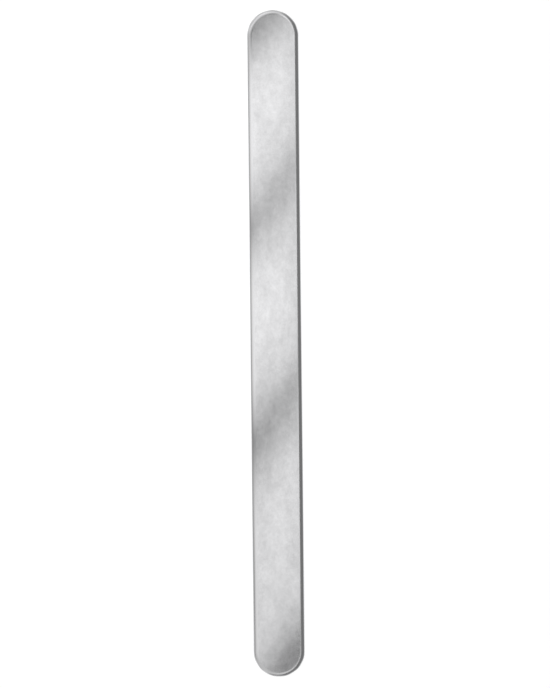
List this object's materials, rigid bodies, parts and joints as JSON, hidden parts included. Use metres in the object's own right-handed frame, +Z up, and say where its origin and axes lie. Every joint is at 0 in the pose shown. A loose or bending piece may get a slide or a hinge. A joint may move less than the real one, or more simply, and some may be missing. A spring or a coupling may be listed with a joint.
{
  "type": "malleable spatula",
  "caption": "Long flat surgical ribbon with parallel sides, full-round ends and a ground, rounded edge, soft enough to bend by hand to hold tissue back.",
  "frame": {"origin": "centre of the underside, on the surface that the ribbon lies on", "axes": "+Y along the ribbon, +X across it, +Z up through its thickness"},
  "size_m": [0.0254, 0.33, 0.0016],
  "materials": {
    "satin_steel": "satin faces with a fine even grain, and a polished rounded edge"
  },
  "bodies": {
    "root": {"blade": "satin_steel"}
  },
  "joints": []
}
